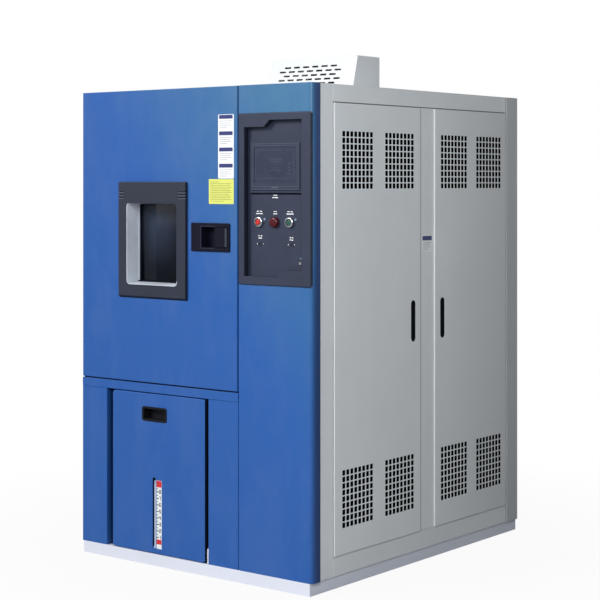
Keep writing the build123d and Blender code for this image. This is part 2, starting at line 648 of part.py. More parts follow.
# Latch paddle, hinged near its right end
with BuildPart() as latch_paddle:
    block((697, 746), (-12, 0), (1212, 1283))
    fillet(latch_paddle.edges().filter_by(Axis.Z), 1.5)
    rod(*PADDLE_AXIS, (1206.3, 1288.7), 2.5)
save(latch_paddle, "latch_paddle")

# Latch tongue, drawn back by the paddle
with BuildPart() as latch_tongue:
    block((730, 799.3), TONGUE_Y, TONGUE_Z)
    fillet(latch_tongue.edges().filter_by(Axis.Z).group_by(Axis.X)[-1], 3)
save(latch_tongue, "latch_tongue")

# Latch keeper on the column
with BuildPart() as latch_keeper:
    block((800, COLUMN_LEFT), (8, 44), (1218, 1278))
    fillet(latch_keeper.edges().filter_by(Axis.X), 4)
save(latch_keeper, "latch_keeper")

# Control bezel: a slate frame with a stepped opening and a well behind it
CONTROL_X = (806.0, 1136.0)
CONTROL_Z = (1081.0, 1698.0)
STEP_TOP = (925.0, 950.0)
STEP_LOW = (985.0, 1022.0)
OPEN_X = (833.0, 1097.0)
OPEN_Z = (1112.0, 1672.0)
STEP_RISE = (1648.0, 1138.0)
CONTROL_PROUD = 6.0


def control_opening(margin):
    """The stepped opening's corners, grown outwards by the margin."""
    left, right = grown(OPEN_X, margin)
    low, high = grown(OPEN_Z, margin)
    top_step = STEP_RISE[0] + margin
    low_step = STEP_RISE[1] - margin
    return [
        (left, low),
        (STEP_LOW[0], low),
        (STEP_LOW[1], low_step),
        (right, low_step),
        (right, high),
        (STEP_TOP[1], high),
        (STEP_TOP[0], top_step),
        (left, top_step),
    ]


with BuildPart() as control_bezel:
    with BuildSketch(front_plane(0)):
        window(CONTROL_X, CONTROL_Z, 5)
    extrude(amount=CONTROL_PROUD)
    fillet(control_bezel.edges().group_by(Axis.Y)[0], 4)
    with BuildSketch(floor_plane(CONTROL_Z[0] + 5)):
        window((CORNER_X, CONTROL_X[1]), (0, 9))
        with Locations((CORNER_X, CORNER)):
            Circle(CORNER, mode=Mode.SUBTRACT)
    extrude(amount=CONTROL_Z[1] - CONTROL_Z[0] - 10)
    with BuildSketch(front_plane(PLATE)):
        Polygon(*control_opening(3), align=None)
    extrude(amount=PLATE)
    with BuildSketch(front_plane(PLATE)):
        Polygon(*control_opening(0), align=None)
    extrude(amount=PLATE + CONTROL_PROUD + 1, mode=Mode.SUBTRACT)
save(control_bezel, "control_bezel")

# Instrument plate at the back of the well, with the collars of the lamp, key lock and sockets
with BuildPart() as instrument_plate:
    block(grown(OPEN_X, 2.5), (PLATE, PLATE + 3), grown(OPEN_Z, 2.5))
    for stem_x in (STOP_X, START_X):
        rod(stem_x, (PLATE - 1, PLATE + 4), BUTTON_Z, 8 + RUNNING, Mode.SUBTRACT)
    rod(LAMP_X, (15, PLATE), BUTTON_Z, LAMP_RADIUS + 1)
    rod(LAMP_X, (14, PLATE), BUTTON_Z, LAMP_RADIUS + RUNNING, Mode.SUBTRACT)
    rod(KEY_AT[0], (14, PLATE), KEY_AT[1], KEY_RADIUS + 2.5)
    rod(KEY_AT[0], (13, PLATE + 4), KEY_AT[1], KEY_RADIUS + RUNNING, Mode.SUBTRACT)
    for socket_x in SOCKETS_X:
        rod(socket_x, (PLATE - 2, PLATE), SOCKET_Z, 8.5)
        rod(socket_x, (PLATE - 3, PLATE + 1.5), SOCKET_Z, 5, Mode.SUBTRACT)
save(instrument_plate, "instrument_plate")

# Touch screen: a stepped frame and its glass
SCREEN_X = (848.0, 1085.0)
SCREEN_Z = (1412.0, 1598.0)
GLASS_X = (868.0, 1062.0)
GLASS_Z = (1448.0, 1576.0)
with BuildPart() as screen_frame:
    block(SCREEN_X, (12, PLATE), SCREEN_Z)
    block(grown(SCREEN_X, -8), (8, 12), grown(SCREEN_Z, -8))
    fillet(screen_frame.edges().group_by(Axis.Y)[0], 2)
    block(GLASS_X, (7, 12), GLASS_Z, Mode.SUBTRACT)
save(screen_frame, "screen_frame")

with BuildPart() as screen_glass:
    block(GLASS_X, (10, 12), GLASS_Z)
save(screen_glass, "screen_glass")

# Flared rings of the two buttons
with BuildPart() as panel_fittings:
    for ring_x in (STOP_X, START_X):
        rod(ring_x, (7, PLATE), BUTTON_Z, RING_RADIUS)
    fillet(panel_fittings.edges().group_by(Axis.Y)[0], 4)
    for ring_x in (STOP_X, START_X):
        rod(ring_x, (6, PLATE + 1), BUTTON_Z, CAP_RADIUS + RUNNING, Mode.SUBTRACT)
save(panel_fittings, "panel_fittings")


def push_button(button_x):
    """A button: a cap in its ring and a stem through the plate."""
    with BuildPart() as button:
        rod(button_x, (8, 14.5), BUTTON_Z, CAP_RADIUS)
        fillet(button.edges().filter_by(GeomType.CIRCLE).sort_by(Axis.Y)[0], 1.5)
        rod(button_x, (14.5, 36), BUTTON_Z, 8)
    return button


save(push_button(STOP_X), "stop_button")
save(push_button(START_X), "start_button")

# Alarm lamp: a domed lens
with BuildPart() as alarm_lamp:
    rod(LAMP_X, (2, PLATE), BUTTON_Z, LAMP_RADIUS)
    fillet(alarm_lamp.edges().filter_by(GeomType.CIRCLE).sort_by(Axis.Y)[0], 8)
save(alarm_lamp, "alarm_lamp")

# Key lock barrel with its key slot
with BuildPart() as key_barrel:
    rod(KEY_AT[0], (13, 34), KEY_AT[1], KEY_RADIUS)
    block(grown((KEY_AT[0],) * 2, 0.8), (12, 18), grown((KEY_AT[1],) * 2, 3.5), Mode.SUBTRACT)
save(key_barrel, "key_barrel")

# Drawer front: a blue folded pan with the cup's hole and the slot of the sight tube
DRAWER_FRONT = -4.0
DRAWER_Z = (48.0, 649.0)
CUP_X = (326.0, 453.0)
CUP_Z = (545.0, 600.0)
SIGHT_X = 388.0
SIGHT_Z = (67.0, 332.0)
with BuildPart() as drawer_front:
    with BuildSketch(front_plane(14)):
        window((DRAWER_LEFT, DRAWER_RIGHT), DRAWER_Z, 12)
    extrude(amount=14 - DRAWER_FRONT)
    fillet(drawer_front.edges().group_by(Axis.Y)[0], 2.5)
    with BuildSketch(front_plane(15)):
        window(grown((DRAWER_LEFT, DRAWER_RIGHT), -3), grown(DRAWER_Z, -3), 9)
    extrude(amount=15 - DRAWER_FRONT - 3, mode=Mode.SUBTRACT)
    with BuildSketch(front_plane(0)):
        window(grown(CUP_X, -5), grown(CUP_Z, -5), 6)
        with Locations((SIGHT_X, sum(SIGHT_Z) / 2)):
            SlotOverall(SIGHT_Z[1] - SIGHT_Z[0], 18, rotation=90)
    extrude(amount=6, mode=Mode.SUBTRACT)
save(drawer_front, "drawer_front")

# Handle cup
with BuildPart() as handle_cup:
    with BuildSketch(front_plane(DRAWER_FRONT)):
        window(CUP_X, CUP_Z, 10)
    extrude(amount=2)
    with BuildSketch(front_plane(30)):
        window(grown(CUP_X, -5), grown(CUP_Z, -5), 6)
    extrude(amount=30 - DRAWER_FRONT)
    with BuildSketch(front_plane(27)):
        window(grown(CUP_X, -8), grown(CUP_Z, -8), 4)
    extrude(amount=40, mode=Mode.SUBTRACT)
save(handle_cup, "handle_cup")

# Sight tube and its two elbow blocks
with BuildPart() as sight_tube:
    rod(SIGHT_X, 6.5, (72, 325), 6.5)
    for elbow in ((56, 72), (325, 341)):
        block((SIGHT_X - 8, SIGHT_X + 8), (0, 32), elbow)
save(sight_tube, "sight_tube")

# Level scale strip
with BuildPart() as level_scale:
    block((401, 427), (DRAWER_FRONT - 1, DRAWER_FRONT), (68, 325))
save(level_scale, "level_scale")

# Water tank: an open tub on two runners, hung behind the drawer front
TANK_X = (190.0, 620.0)
TANK_Y = (32.0, 430.0)
TANK_Z = (62.0, 345.0)
with BuildPart() as water_tank:
    block(TANK_X, TANK_Y, TANK_Z)
    block(grown(TANK_X, -2), grown(TANK_Y, -2), (TANK_Z[0] + 2, TANK_Z[1] + 1), Mode.SUBTRACT)
    for runner in ((176, TANK_X[0]), (TANK_X[1], 634)):
        block(runner, (40, TANK_Y[1]), (150, 158))
    for bracket_x in ((200, 230), (580, 610)):
        for bracket_z in ((80, 110), (290, 320)):
            block(bracket_x, (-1, TANK_Y[0]), bracket_z)
save(water_tank, "water_tank")

# Drawer slides on the base
with BuildPart() as drawer_slides:
    for web, shelf in (((148, 150), (150, 186)), ((660, 662), (624, 660))):
        block(web, (60, 480), (PLINTH, 149.5))
        block(shelf, (60, 480), (147.5, 149.5))
save(drawer_slides, "drawer_slides")

# Side doors: perforated pans with a slot for the pull, and a hole for each pivot pin
HOLE_PITCH = (24.2, 23.45)
HOLE_SIZE = (19.0, 19.5)
HOLE_ROUND = 3.0
SKIN = 1.5
FIELD_COLUMNS = 8
FIELD_ROWS = 9
FIELD_HEIGHTS = (315.0, 1529.5)
PULL_Z = (844.0, 1002.0)
PULL_WIDTH = 31.0
PIVOT_X = WIDTH - PIVOT_INSET


def side_door(leaf, field_middles, pull_y, pivot_y):
    """A perforated door leaf, for the span that it covers along the cabinet's side."""
    with BuildPart() as leaf_part:
        block((WIDTH - LEAF_THICK, WIDTH), leaf, SIDE_Z)
        fillet(leaf_part.edges().group_by(Axis.X)[-1], 2)
        block((WIDTH - LEAF_THICK - 1, WIDTH - 5), grown(leaf, -2), grown(SIDE_Z, -2), Mode.SUBTRACT)
        block((WIDTH - 6, WIDTH - SKIN), grown(leaf, -5), grown(SIDE_Z, -5), Mode.SUBTRACT)
        with BuildSketch(side_plane(WIDTH - 3)):
            for middle in field_middles:
                for height in FIELD_HEIGHTS:
                    with Locations((middle, height)):
                        with GridLocations(*HOLE_PITCH, FIELD_COLUMNS, FIELD_ROWS):
                            RectangleRounded(*HOLE_SIZE, HOLE_ROUND)
            with Locations((pull_y, sum(PULL_Z) / 2)):
                SlotOverall(PULL_Z[1] - PULL_Z[0], PULL_WIDTH, rotation=90)
        extrude(amount=4, mode=Mode.SUBTRACT)
        rod(PIVOT_X, pivot_y, (SIDE_Z[0] - 1, SIDE_Z[0] + 6), 2.55, Mode.SUBTRACT)
        rod(PIVOT_X, pivot_y, (SIDE_Z[1] - 6, SIDE_Z[1] + 1), 2.55, Mode.SUBTRACT)
    return leaf_part


def pull_cup(pull_y):
    """The black cup behind a leaf's slot."""
    with BuildPart() as cup:
        with BuildSketch(side_plane(WIDTH - LEAF_THICK)):
            with Locations((pull_y, sum(PULL_Z) / 2)):
                SlotOverall(PULL_Z[1] - PULL_Z[0], PULL_WIDTH, rotation=90)
        extrude(amount=LEAF_THICK - 1)
        with BuildSketch(side_plane(WIDTH - LEAF_THICK + 2)):
            with Locations((pull_y, sum(PULL_Z) / 2)):
                SlotOverall(PULL_Z[1] - PULL_Z[0] - 5, PULL_WIDTH - 5, rotation=90)
        extrude(amount=LEAF_THICK, mode=Mode.SUBTRACT)
    return cup


FRONT_PIVOT = FRONT_LEAF[0] + PIVOT_INSET
REAR_PIVOT = REAR_LEAF[1] - PIVOT_INSET
save(side_door(FRONT_LEAF, (270, 536), 626.5, FRONT_PIVOT), "side_door_front")
save(side_door(REAR_LEAF, (912, 1170), 828, REAR_PIVOT), "side_door_rear")
save(pull_cup(626.5), "pull_cup_front")
save(pull_cup(828), "pull_cup_rear")

# Pivot pins of the side doors, each on a tab in the gap beside the leaf
TAB = 1.8
PIN = 8.0
with BuildPart() as side_door_pins:
    for pivot_y in (FRONT_PIVOT, REAR_PIVOT):
        for tab, tip in (
            ((LOW_RAIL, LOW_RAIL + TAB), (LOW_RAIL, LOW_RAIL + PIN)),
            ((HIGH_RAIL - TAB, HIGH_RAIL), (HIGH_RAIL - PIN, HIGH_RAIL)),
        ):
            block((WIDTH - 20, WIDTH - 2.5), grown((pivot_y, pivot_y), 3.5), tab)
            rod(PIVOT_X, pivot_y, tip, 2.5)
save(side_door_pins, "side_door_pins")
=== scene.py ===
import json
import math

import bmesh
import bpy
from mathutils import Matrix, Vector


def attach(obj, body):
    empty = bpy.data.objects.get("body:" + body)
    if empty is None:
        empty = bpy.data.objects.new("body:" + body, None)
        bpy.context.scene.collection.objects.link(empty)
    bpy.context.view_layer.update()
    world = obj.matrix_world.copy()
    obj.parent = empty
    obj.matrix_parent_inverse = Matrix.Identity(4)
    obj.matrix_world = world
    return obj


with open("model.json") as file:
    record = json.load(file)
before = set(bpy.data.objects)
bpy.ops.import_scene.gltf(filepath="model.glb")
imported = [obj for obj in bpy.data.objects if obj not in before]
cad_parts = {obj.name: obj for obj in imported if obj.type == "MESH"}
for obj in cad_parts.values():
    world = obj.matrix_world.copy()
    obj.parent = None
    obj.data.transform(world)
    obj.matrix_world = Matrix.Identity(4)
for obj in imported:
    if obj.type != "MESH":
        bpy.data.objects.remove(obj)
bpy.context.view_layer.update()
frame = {"nodes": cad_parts, "record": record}
nodes = frame["nodes"]

# Cabinet corner that all lengths in millimetres start from: left side, front face, floor
LEFT = -0.570
FRONT = -0.700

# Faces that pieces lie on: y of those at the front, x of those on the right side
DOOR_FACE = 0
BEZEL_FACE = -12
SCALE_FACE = -5
FRAME_FACE = 1134
LEAF_FACE = 1140


def place(x, y, z):
    """A point given in millimetres from the left side, the front face and the floor."""
    return Vector((LEFT + x / 1000, FRONT + y / 1000, z / 1000))


# Colours


def rgb(red, green, blue):
    """A display colour, 0 to 255, as linear values."""
    out = []
    for value in (red, green, blue):
        v = value / 255
        out.append(v / 12.92 if v <= 0.04045 else ((v + 0.055) / 1.055) ** 2.4)
    return (*out, 1.0)


def tint(colour, amount):
    """The colour made lighter (above 1) or darker (below 1)."""
    return (*(min(1.0, c * amount) for c in colour[:3]), 1.0)


# Directions that shades follow
BACKWARDS = (0.0, 1.0, 0.0)
DOWNWARDS = (0.0, 0.0, -1.0)
RIGHTWARDS = (1.0, 0.0, 0.0)
UP_AND_RIGHT = (1.1, 0.0, 0.9)

# Painted shade, darker stretches where less light falls: the folded edges of the blue front, the rear of
# the right side, its rear post, the inside of the control well and the bezel's lower and right sides;
# each with its direction, start, end and last tint
FOLD_SHADE = (BACKWARDS, FRONT + 0.003, FRONT + 0.026, 0.42)
SIDE_SHADE = (BACKWARDS, 0.15, 0.60, 0.86)
REAR_POST_SHADE = (BACKWARDS, 0.605, 0.612, 0.66)
WELL_SHADE = (BACKWARDS, FRONT - 0.004, FRONT + 0.006, 0.3)
BEZEL_SHADES = (
    (DOWNWARDS, -1.0175, -1.0145, 0.3),
    (RIGHTWARDS, LEFT + 0.5505, LEFT + 0.5525, 0.4),
)

# Materials


class Shader:
    """A node material with one Principled shader and small helpers."""

    def __init__(self, colour, roughness, metallic=0.0, coat=0.0):
        self.material = bpy.data.materials.new("finish")
        self.material.use_nodes = True
        self.tree = self.material.node_tree
        self.tree.nodes.clear()
        self.output = self.add("ShaderNodeOutputMaterial")
        self.body = self.add("ShaderNodeBsdfPrincipled")
        self.body.inputs["Base Color"].default_value = colour
        self.body.inputs["Roughness"].default_value = roughness
        self.body.inputs["Metallic"].default_value = metallic
        self.body.inputs["Coat Weight"].default_value = coat
        self.link(self.body.outputs[0], self.output.inputs["Surface"])
        self.coords = self.add("ShaderNodeTexCoord").outputs["Object"]
        self.colour = colour
        self.bump_chain = None

    def add(self, kind):
        return self.tree.nodes.new(kind)

    def link(self, start, end):
        self.tree.links.new(start, end)

    def mapped(self, stretch):
        """Object coordinates, stretched along each axis."""
        mapping = self.add("ShaderNodeMapping")
        mapping.inputs["Scale"].default_value = stretch
        self.link(self.coords, mapping.inputs["Vector"])
        return mapping.outputs["Vector"]

    def noise(self, scale, detail=3.0, roughness=0.5, stretch=None):
        node = self.add("ShaderNodeTexNoise")
        node.inputs["Scale"].default_value = scale
        node.inputs["Detail"].default_value = detail
        node.inputs["Roughness"].default_value = roughness
        self.link(self.mapped(stretch) if stretch else self.coords, node.inputs["Vector"])
        return node.outputs["Fac"]

    def along(self, direction):
        """How far a point lies along a direction, in metres."""
        node = self.add("ShaderNodeVectorMath")
        node.operation = "DOT_PRODUCT"
        node.inputs[1].default_value = direction
        self.link(self.coords, node.inputs[0])
        return node.outputs["Value"]

    def ramp(self, value, low, high, start=0.3, end=0.7):
        node = self.add("ShaderNodeMapRange")
        node.inputs["From Min"].default_value = start
        node.inputs["From Max"].default_value = end
        node.inputs["To Min"].default_value = low
        node.inputs["To Max"].default_value = high
        self.link(value, node.inputs["Value"])
        return node.outputs["Result"]

    def mix(self, factor, first, second):
        node = self.add("ShaderNodeMix")
        node.data_type = "RGBA"
        self.link(factor, node.inputs["Factor"])
        for socket, value in ((node.inputs[6], first), (node.inputs[7], second)):
            if isinstance(value, tuple):
                socket.default_value = value
            else:
                self.link(value, socket)
        return node.outputs[2]

    def mottle(self, scale, light, dark):
        """Slow variation of the base colour between a lighter and a darker tint."""
        factor = self.ramp(self.noise(scale, 5.0, 0.6), 0.0, 1.0)
        return self.mix(factor, tint(self.colour, dark), tint(self.colour, light))

    def darken(self, coat, direction, start, end, last):
        """The coat, fading to another tint of the base colour along a direction: painted shade."""
        shade = self.ramp(self.along(direction), 0.0, 1.0, start, end)
        return self.mix(shade, coat, tint(self.colour, last))

    def paint(self, value):
        self.link(value, self.body.inputs["Base Color"])

    def rough(self, value):
        self.link(value, self.body.inputs["Roughness"])

    def bump(self, height, strength, distance):
        node = self.add("ShaderNodeBump")
        node.inputs["Strength"].default_value = strength
        node.inputs["Distance"].default_value = distance
        self.link(height, node.inputs["Height"])
        if self.bump_chain is not None:
            self.link(self.bump_chain, node.inputs["Normal"])
        self.bump_chain = node.outputs["Normal"]
        self.link(self.bump_chain, self.body.inputs["Normal"])


def powder_dust(shader, most):
    """How much faint dust lies on powder paint, up to the given factor."""
    return shader.ramp(shader.noise(9.0, 6.0, 0.65, (1, 1, 0.35)), 0.0, most, 0.45, 0.75)


def powder_surface(shader, roughness):
    """The sheen, orange peel and slight waves of oven-baked powder paint."""
    shader.body.inputs["Specular IOR Level"].default_value = 0.3
    shader.rough(shader.ramp(shader.noise(14.0, 4.0), roughness - 0.05, roughness + 0.08))
    shader.bump(shader.noise(900.0, 2.0), 0.08, 0.0004)
    shader.bump(shader.noise(6.0, 2.0), 0.03, 0.003)


def powder_coat(colour, roughness=0.42, painted_shades=()):
    """Mottled and dusty powder paint; each painted shade is a direction, start, end and last tint."""
    shader = Shader(colour, roughness)
    grey = tint(rgb(190, 190, 188), 0.9)
    coat = shader.mix(powder_dust(shader, 0.06), shader.mottle(2.2, 1.03, 0.97), grey)
    for shade in painted_shades:
        coat = shader.darken(coat, *shade)
    shader.paint(coat)
    powder_surface(shader, roughness)
    return shader.material


def painted_light_coat(colour, lit_colour, roughness=0.36):
    """Powder paint with painted light and shade: paler towards the upper right of the front, where more
    light falls, and painted dark on edges folded back from it, where shade falls.
    """
    shader = Shader(colour, roughness)
    lit_share = shader.ramp(shader.along(UP_AND_RIGHT), 0.0, 1.0, 1.05, 2.0)
    mottled = shader.ramp(shader.noise(2.2, 5.0, 0.6), -0.04, 0.04)
    total = shader.add("ShaderNodeMath")
    total.use_clamp = True
    shader.link(lit_share, total.inputs[0])
    shader.link(mottled, total.inputs[1])
    paint = shader.mix(total.outputs[0], colour, lit_colour)
    coat = shader.mix(powder_dust(shader, 0.04), paint, rgb(180, 182, 184))
    shader.paint(shader.darken(coat, *FOLD_SHADE))
    powder_surface(shader, roughness)
    return shader.material


def moulded_plastic(colour, roughness, sheen=0.25, painted_shades=()):
    """Fine-grained moulded plastic; each painted shade is a direction, start, end and last tint."""
    shader = Shader(colour, roughness)
    shader.body.inputs["Specular IOR Level"].default_value = sheen
    coat = shader.mottle(7.0, 1.12, 0.9)
    for shade in painted_shades:
        coat = shader.darken(coat, *shade)
    shader.paint(coat)
    shader.rough(shader.ramp(shader.noise(22.0, 5.0, 0.6), roughness - 0.08, roughness + 0.1))
    shader.bump(shader.noise(1400.0, 2.0), 0.14, 0.0003)
    return shader.material


def gloss_plastic(colour, roughness=0.18):
    shader = Shader(colour, roughness, coat=0.35)
    shader.paint(shader.mottle(30.0, 1.08, 0.92))
    shader.rough(shader.ramp(shader.noise(60.0, 4.0), roughness - 0.04, roughness + 0.08))
    shader.bump(shader.noise(300.0, 2.0), 0.03, 0.0002)
    return shader.material


def brushed_metal(colour, along, roughness):
    """Brushed metal: scratches run across the stretched axis."""
    shader = Shader(colour, roughness, metallic=1.0)
    grain = shader.noise(60.0, 5.0, 0.7, along)
    shader.paint(shader.mix(shader.ramp(grain, 0.0, 1.0), tint(colour, 0.86), tint(colour, 1.06)))
    shader.rough(shader.ramp(grain, roughness - 0.08, roughness + 0.12))
    shader.bump(grain, 0.05, 0.0003)
    return shader.material


def polished_metal(colour, roughness):
    shader = Shader(colour, roughness, metallic=1.0)
    shader.paint(shader.mottle(80.0, 1.04, 0.93))
    shader.rough(shader.ramp(shader.noise(140.0, 4.0), roughness - 0.04, roughness + 0.1))
    shader.bump(shader.noise(500.0, 2.0), 0.02, 0.0002)
    return shader.material


def soft_rubber(colour):
    shader = Shader(colour, 0.75)
    shader.paint(shader.mottle(18.0, 1.3, 0.8))
    shader.bump(shader.noise(700.0, 3.0), 0.2, 0.0003)
    return shader.material


def foam(colour):
    shader = Shader(colour, 0.9)
    shader.paint(shader.mottle(25.0, 1.1, 0.85))
    shader.bump(shader.noise(220.0, 5.0, 0.7), 0.4, 0.001)
    return shader.material


def printed_card(colour):
    """A laminated paper label."""
    shader = Shader(colour, 0.35, coat=0.2)
    shader.paint(shader.mottle(40.0, 1.02, 0.95))
    shader.bump(shader.noise(250.0, 3.0), 0.05, 0.0002)
    return shader.material


# Painted reflection: a soft pale patch in the window
REFLECTION_MIDDLE = place(330, 75, 1290)
REFLECTION_INNER = 0.02
REFLECTION_OUTER = 0.17


def dark_glass(deep, pale):
    """Dark coated glass, with a painted reflection that makes it paler in a soft patch at its upper
    left.
    """
    shader = Shader(deep, 0.05)
    shader.body.inputs["Specular IOR Level"].default_value = 0.25
    shader.body.inputs["Transmission Weight"].default_value = 0.35
    spot = shader.add("ShaderNodeVectorMath")
    spot.operation = "DISTANCE"
    spot.inputs[1].default_value = REFLECTION_MIDDLE
    shader.link(shader.coords, spot.inputs[0])
    reflection = shader.ramp(spot.outputs["Value"], 1.0, 0.0, REFLECTION_INNER, REFLECTION_OUTER)
    shader.paint(shader.mix(reflection, deep, pale))
    shader.rough(shader.ramp(shader.noise(12.0, 4.0), 0.04, 0.1))
    return shader.material


BLUE = rgb(39, 89, 162)
# Paler blue, painted light on the upper right of the front
BLUE_LIT = rgb(58, 107, 146)
GREY = rgb(222, 225, 228)
mats = {
    "plinth_paint": powder_coat(rgb(222, 225, 237)),
    "grey_paint": powder_coat(GREY, painted_shades=(SIDE_SHADE,)),
    "frame_paint": powder_coat(GREY, painted_shades=(REAR_POST_SHADE,)),
    "blue_paint": painted_light_coat(BLUE, BLUE_LIT),
    "primer": brushed_metal(rgb(150, 152, 155), (6, 6, 6), 0.5),
    "device_plastic": moulded_plastic(rgb(196, 198, 200), 0.45),
    "stainless": brushed_metal(rgb(178, 179, 180), (1, 1, 30), 0.3),
    "foam": foam(rgb(214, 196, 140)),
    "rubber": soft_rubber(rgb(22, 22, 24)),
    "aluminium": brushed_metal(rgb(196, 198, 200), (30, 1, 1), 0.35),
    "motor_paint": powder_coat(rgb(32, 33, 36), 0.4),
    "black_plastic": moulded_plastic(rgb(20, 21, 27), 0.45, sheen=0.12),
    "slate_plastic": moulded_plastic(rgb(43, 50, 68), 0.5),
    "bezel_plastic": moulded_plastic(rgb(38, 43, 58), 0.5, painted_shades=BEZEL_SHADES),
    "well_plastic": moulded_plastic(rgb(43, 50, 68), 0.5, painted_shades=(WELL_SHADE,)),
    "latch_plastic": moulded_plastic(rgb(14, 15, 30), 0.45, sheen=0.1),
    "screen_glass": moulded_plastic(rgb(44, 51, 70), 0.3, sheen=0.3),
    "white_plastic": gloss_plastic(rgb(232, 234, 236), 0.35),
    "reveal_plastic": moulded_plastic(rgb(206, 212, 222), 0.4),
    "window_glass": dark_glass(rgb(16, 20, 32), rgb(54, 64, 84)),
    "clear_tube": gloss_plastic(rgb(184, 198, 222), 0.12),
    "steel": brushed_metal(rgb(170, 171, 174), (1, 1, 20), 0.35),
    "chrome": polished_metal(rgb(214, 216, 220), 0.14),
    "red_plastic": gloss_plastic(rgb(196, 30, 30)),
    "green_plastic": gloss_plastic(rgb(12, 78, 66)),
    "lamp_lens": moulded_plastic(rgb(72, 5, 14), 0.22, sheen=0.35),
    "card_white": printed_card(rgb(236, 238, 240)),
    "card_yellow": printed_card(rgb(218, 222, 112)),
    "card_blue": printed_card(rgb(26, 38, 104)),
    "scale_red": printed_card(rgb(204, 36, 40)),
    "ink": printed_card(rgb(20, 21, 30)),
    "ink_grey": printed_card(rgb(132, 136, 146)),
    "ink_olive": printed_card(rgb(126, 132, 70)),
    "toggle": moulded_plastic(rgb(128, 142, 162), 0.4),
    # Painted highlight in the bezel's grooves
    "groove_highlight": moulded_plastic(rgb(84, 92, 108), 0.4),
    # Painted highlight on the paddle's right end
    "paddle_highlight": moulded_plastic(rgb(104, 108, 120), 0.4),
    # Near-black for the sight tube's plug, and painted shade behind the perforated fields
    "black_plug_and_shade": moulded_plastic(rgb(6, 6, 7), 0.85, sheen=0.03),
    "shadow_line": moulded_plastic(rgb(15, 18, 30), 0.7, sheen=0.05),
    # Painted highlight on the front ends of the side doors
    "fold_highlight": powder_coat(rgb(252, 253, 254), 0.4),
    # Painted shadow lines at the seams of the right side
    "seam_shadow": moulded_plastic(rgb(112, 115, 120), 0.6),
    "ridge": moulded_plastic(rgb(72, 80, 98), 0.4),
    "display_line": moulded_plastic(rgb(70, 79, 98), 0.3),
    "display_dark": moulded_plastic(rgb(44, 51, 70), 0.25, sheen=0.3),
}
for name, material in mats.items():
    material.name = name

# Every node takes its slot's finish
for part in frame["record"]["subparts"]:
    node = nodes[part["node"]]
    for index in range(len(node.data.materials)):
        node.material_slots[index].material = mats[part["material_slot"]]

# Shades of single nodes
SHADES = {
    "window_bezel": "bezel_plastic",
    "control_bezel": "well_plastic",
    "latch_housing": "latch_plastic",
    "latch_paddle": "latch_plastic",
    "right_side_frame": "frame_paint",
}
for node_name, shade in SHADES.items():
    for slot in nodes[node_name].material_slots:
        slot.material = mats[shade]

# Pieces


def finish_piece(mesh_maker, name, body, material, bevel=0.0):
    """Makes a mesh piece with bmesh, rounds its edges and lets it ride on a body."""
    mesh = bpy.data.meshes.new(name)
    shape = bmesh.new()
    mesh_maker(shape)
    bmesh.ops.recalc_face_normals(shape, faces=shape.faces)
    shape.to_mesh(mesh)
    shape.free()
    piece = bpy.data.objects.new(name, mesh)
    bpy.context.scene.collection.objects.link(piece)
    mesh.materials.append(mats[material])
    if bevel:
        rounding = piece.modifiers.new("round", "BEVEL")
        rounding.width = bevel
        rounding.segments = 2
        rounding.limit_method = "ANGLE"
    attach(piece, body)


def slab(shape, low, high):
    """A box between two corners, both in millimetres from the cabinet's corner."""
    a, b = place(*low), place(*high)
    size = b - a
    made = bmesh.ops.create_cube(shape, size=1.0)
    matrix = Matrix.Translation((a + b) / 2) @ Matrix.Diagonal((*size, 1.0))
    bmesh.ops.transform(shape, matrix=matrix, verts=made["verts"])


def rounded_slab(shape, low, high, radius, axis="y", steps=5):
    """A plate with round corners, its thickness along axis y or x."""
    flat = (0, 2) if axis == "y" else (1, 2)
    thick = 1 if axis == "y" else 0
    points = []
    for sign_u, sign_v, start in ((1, 1, 0), (-1, 1, 90), (-1, -1, 180), (1, -1, 270)):
        corner_u = (high[flat[0]] if sign_u > 0 else low[flat[0]]) - sign_u * radius
        corner_v = (high[flat[1]] if sign_v > 0 else low[flat[1]]) - sign_v * radius
        for step in range(steps + 1):
            angle = math.radians(start + 90 * step / steps)
            points.append((corner_u + radius * math.cos(angle), corner_v + radius * math.sin(angle)))
    rings = []
    for depth in (low[thick], high[thick]):
        ring = []
        for u, v in points:
            spot = [0, 0, 0]
            spot[flat[0]], spot[flat[1]], spot[thick] = u, v, depth
            ring.append(shape.verts.new(place(*spot)))
        rings.append(ring)
    shape.faces.new(rings[0])
    shape.faces.new(rings[1])
    count = len(points)
    for index in range(count):
        after = (index + 1) % count
        shape.faces.new((rings[0][index], rings[0][after], rings[1][after], rings[1][index]))


def washer(shape, middle, radii, depths, steps=48):
    """A flat ring round a middle, between two radii and two depths."""
    loops = []
    for radius, depth in zip((radii[1], radii[1], radii[0], radii[0]), (*depths, *reversed(depths))):
        loop = []
        for step in range(steps):
            angle = 2 * math.pi * step / steps
            across, up = radius * math.cos(angle), radius * math.sin(angle)
            loop.append(shape.verts.new(place(middle[0] + across, depth, middle[1] + up)))
        loops.append(loop)
    for first, second in zip(loops, loops[1:] + loops[:1]):
        for step in range(steps):
            after = (step + 1) % steps
            shape.faces.new((first[step], first[after], second[after], second[step]))


def label(name, body, corners, material, radius=2.0, axis="y"):
    """A thin plate stuck on a face."""

    def maker(shape):
        rounded_slab(shape, *corners, radius, axis)

    finish_piece(maker, name, body, material)


def slabs(name, body, boxes, material, bevel=0.0):
    """Several boxes in one piece."""

    def maker(shape):
        for low, high in boxes:
            slab(shape, low, high)

    finish_piece(maker, name, body, material, bevel)


def inset(span, amount):
    """A span made shorter by the same amount at both ends."""
    return (span[0] + amount, span[1] - amount)


def box(x, y, z):
    """The two corners of a box, from its spans along the three axes."""
    return tuple(zip(x, y, z))


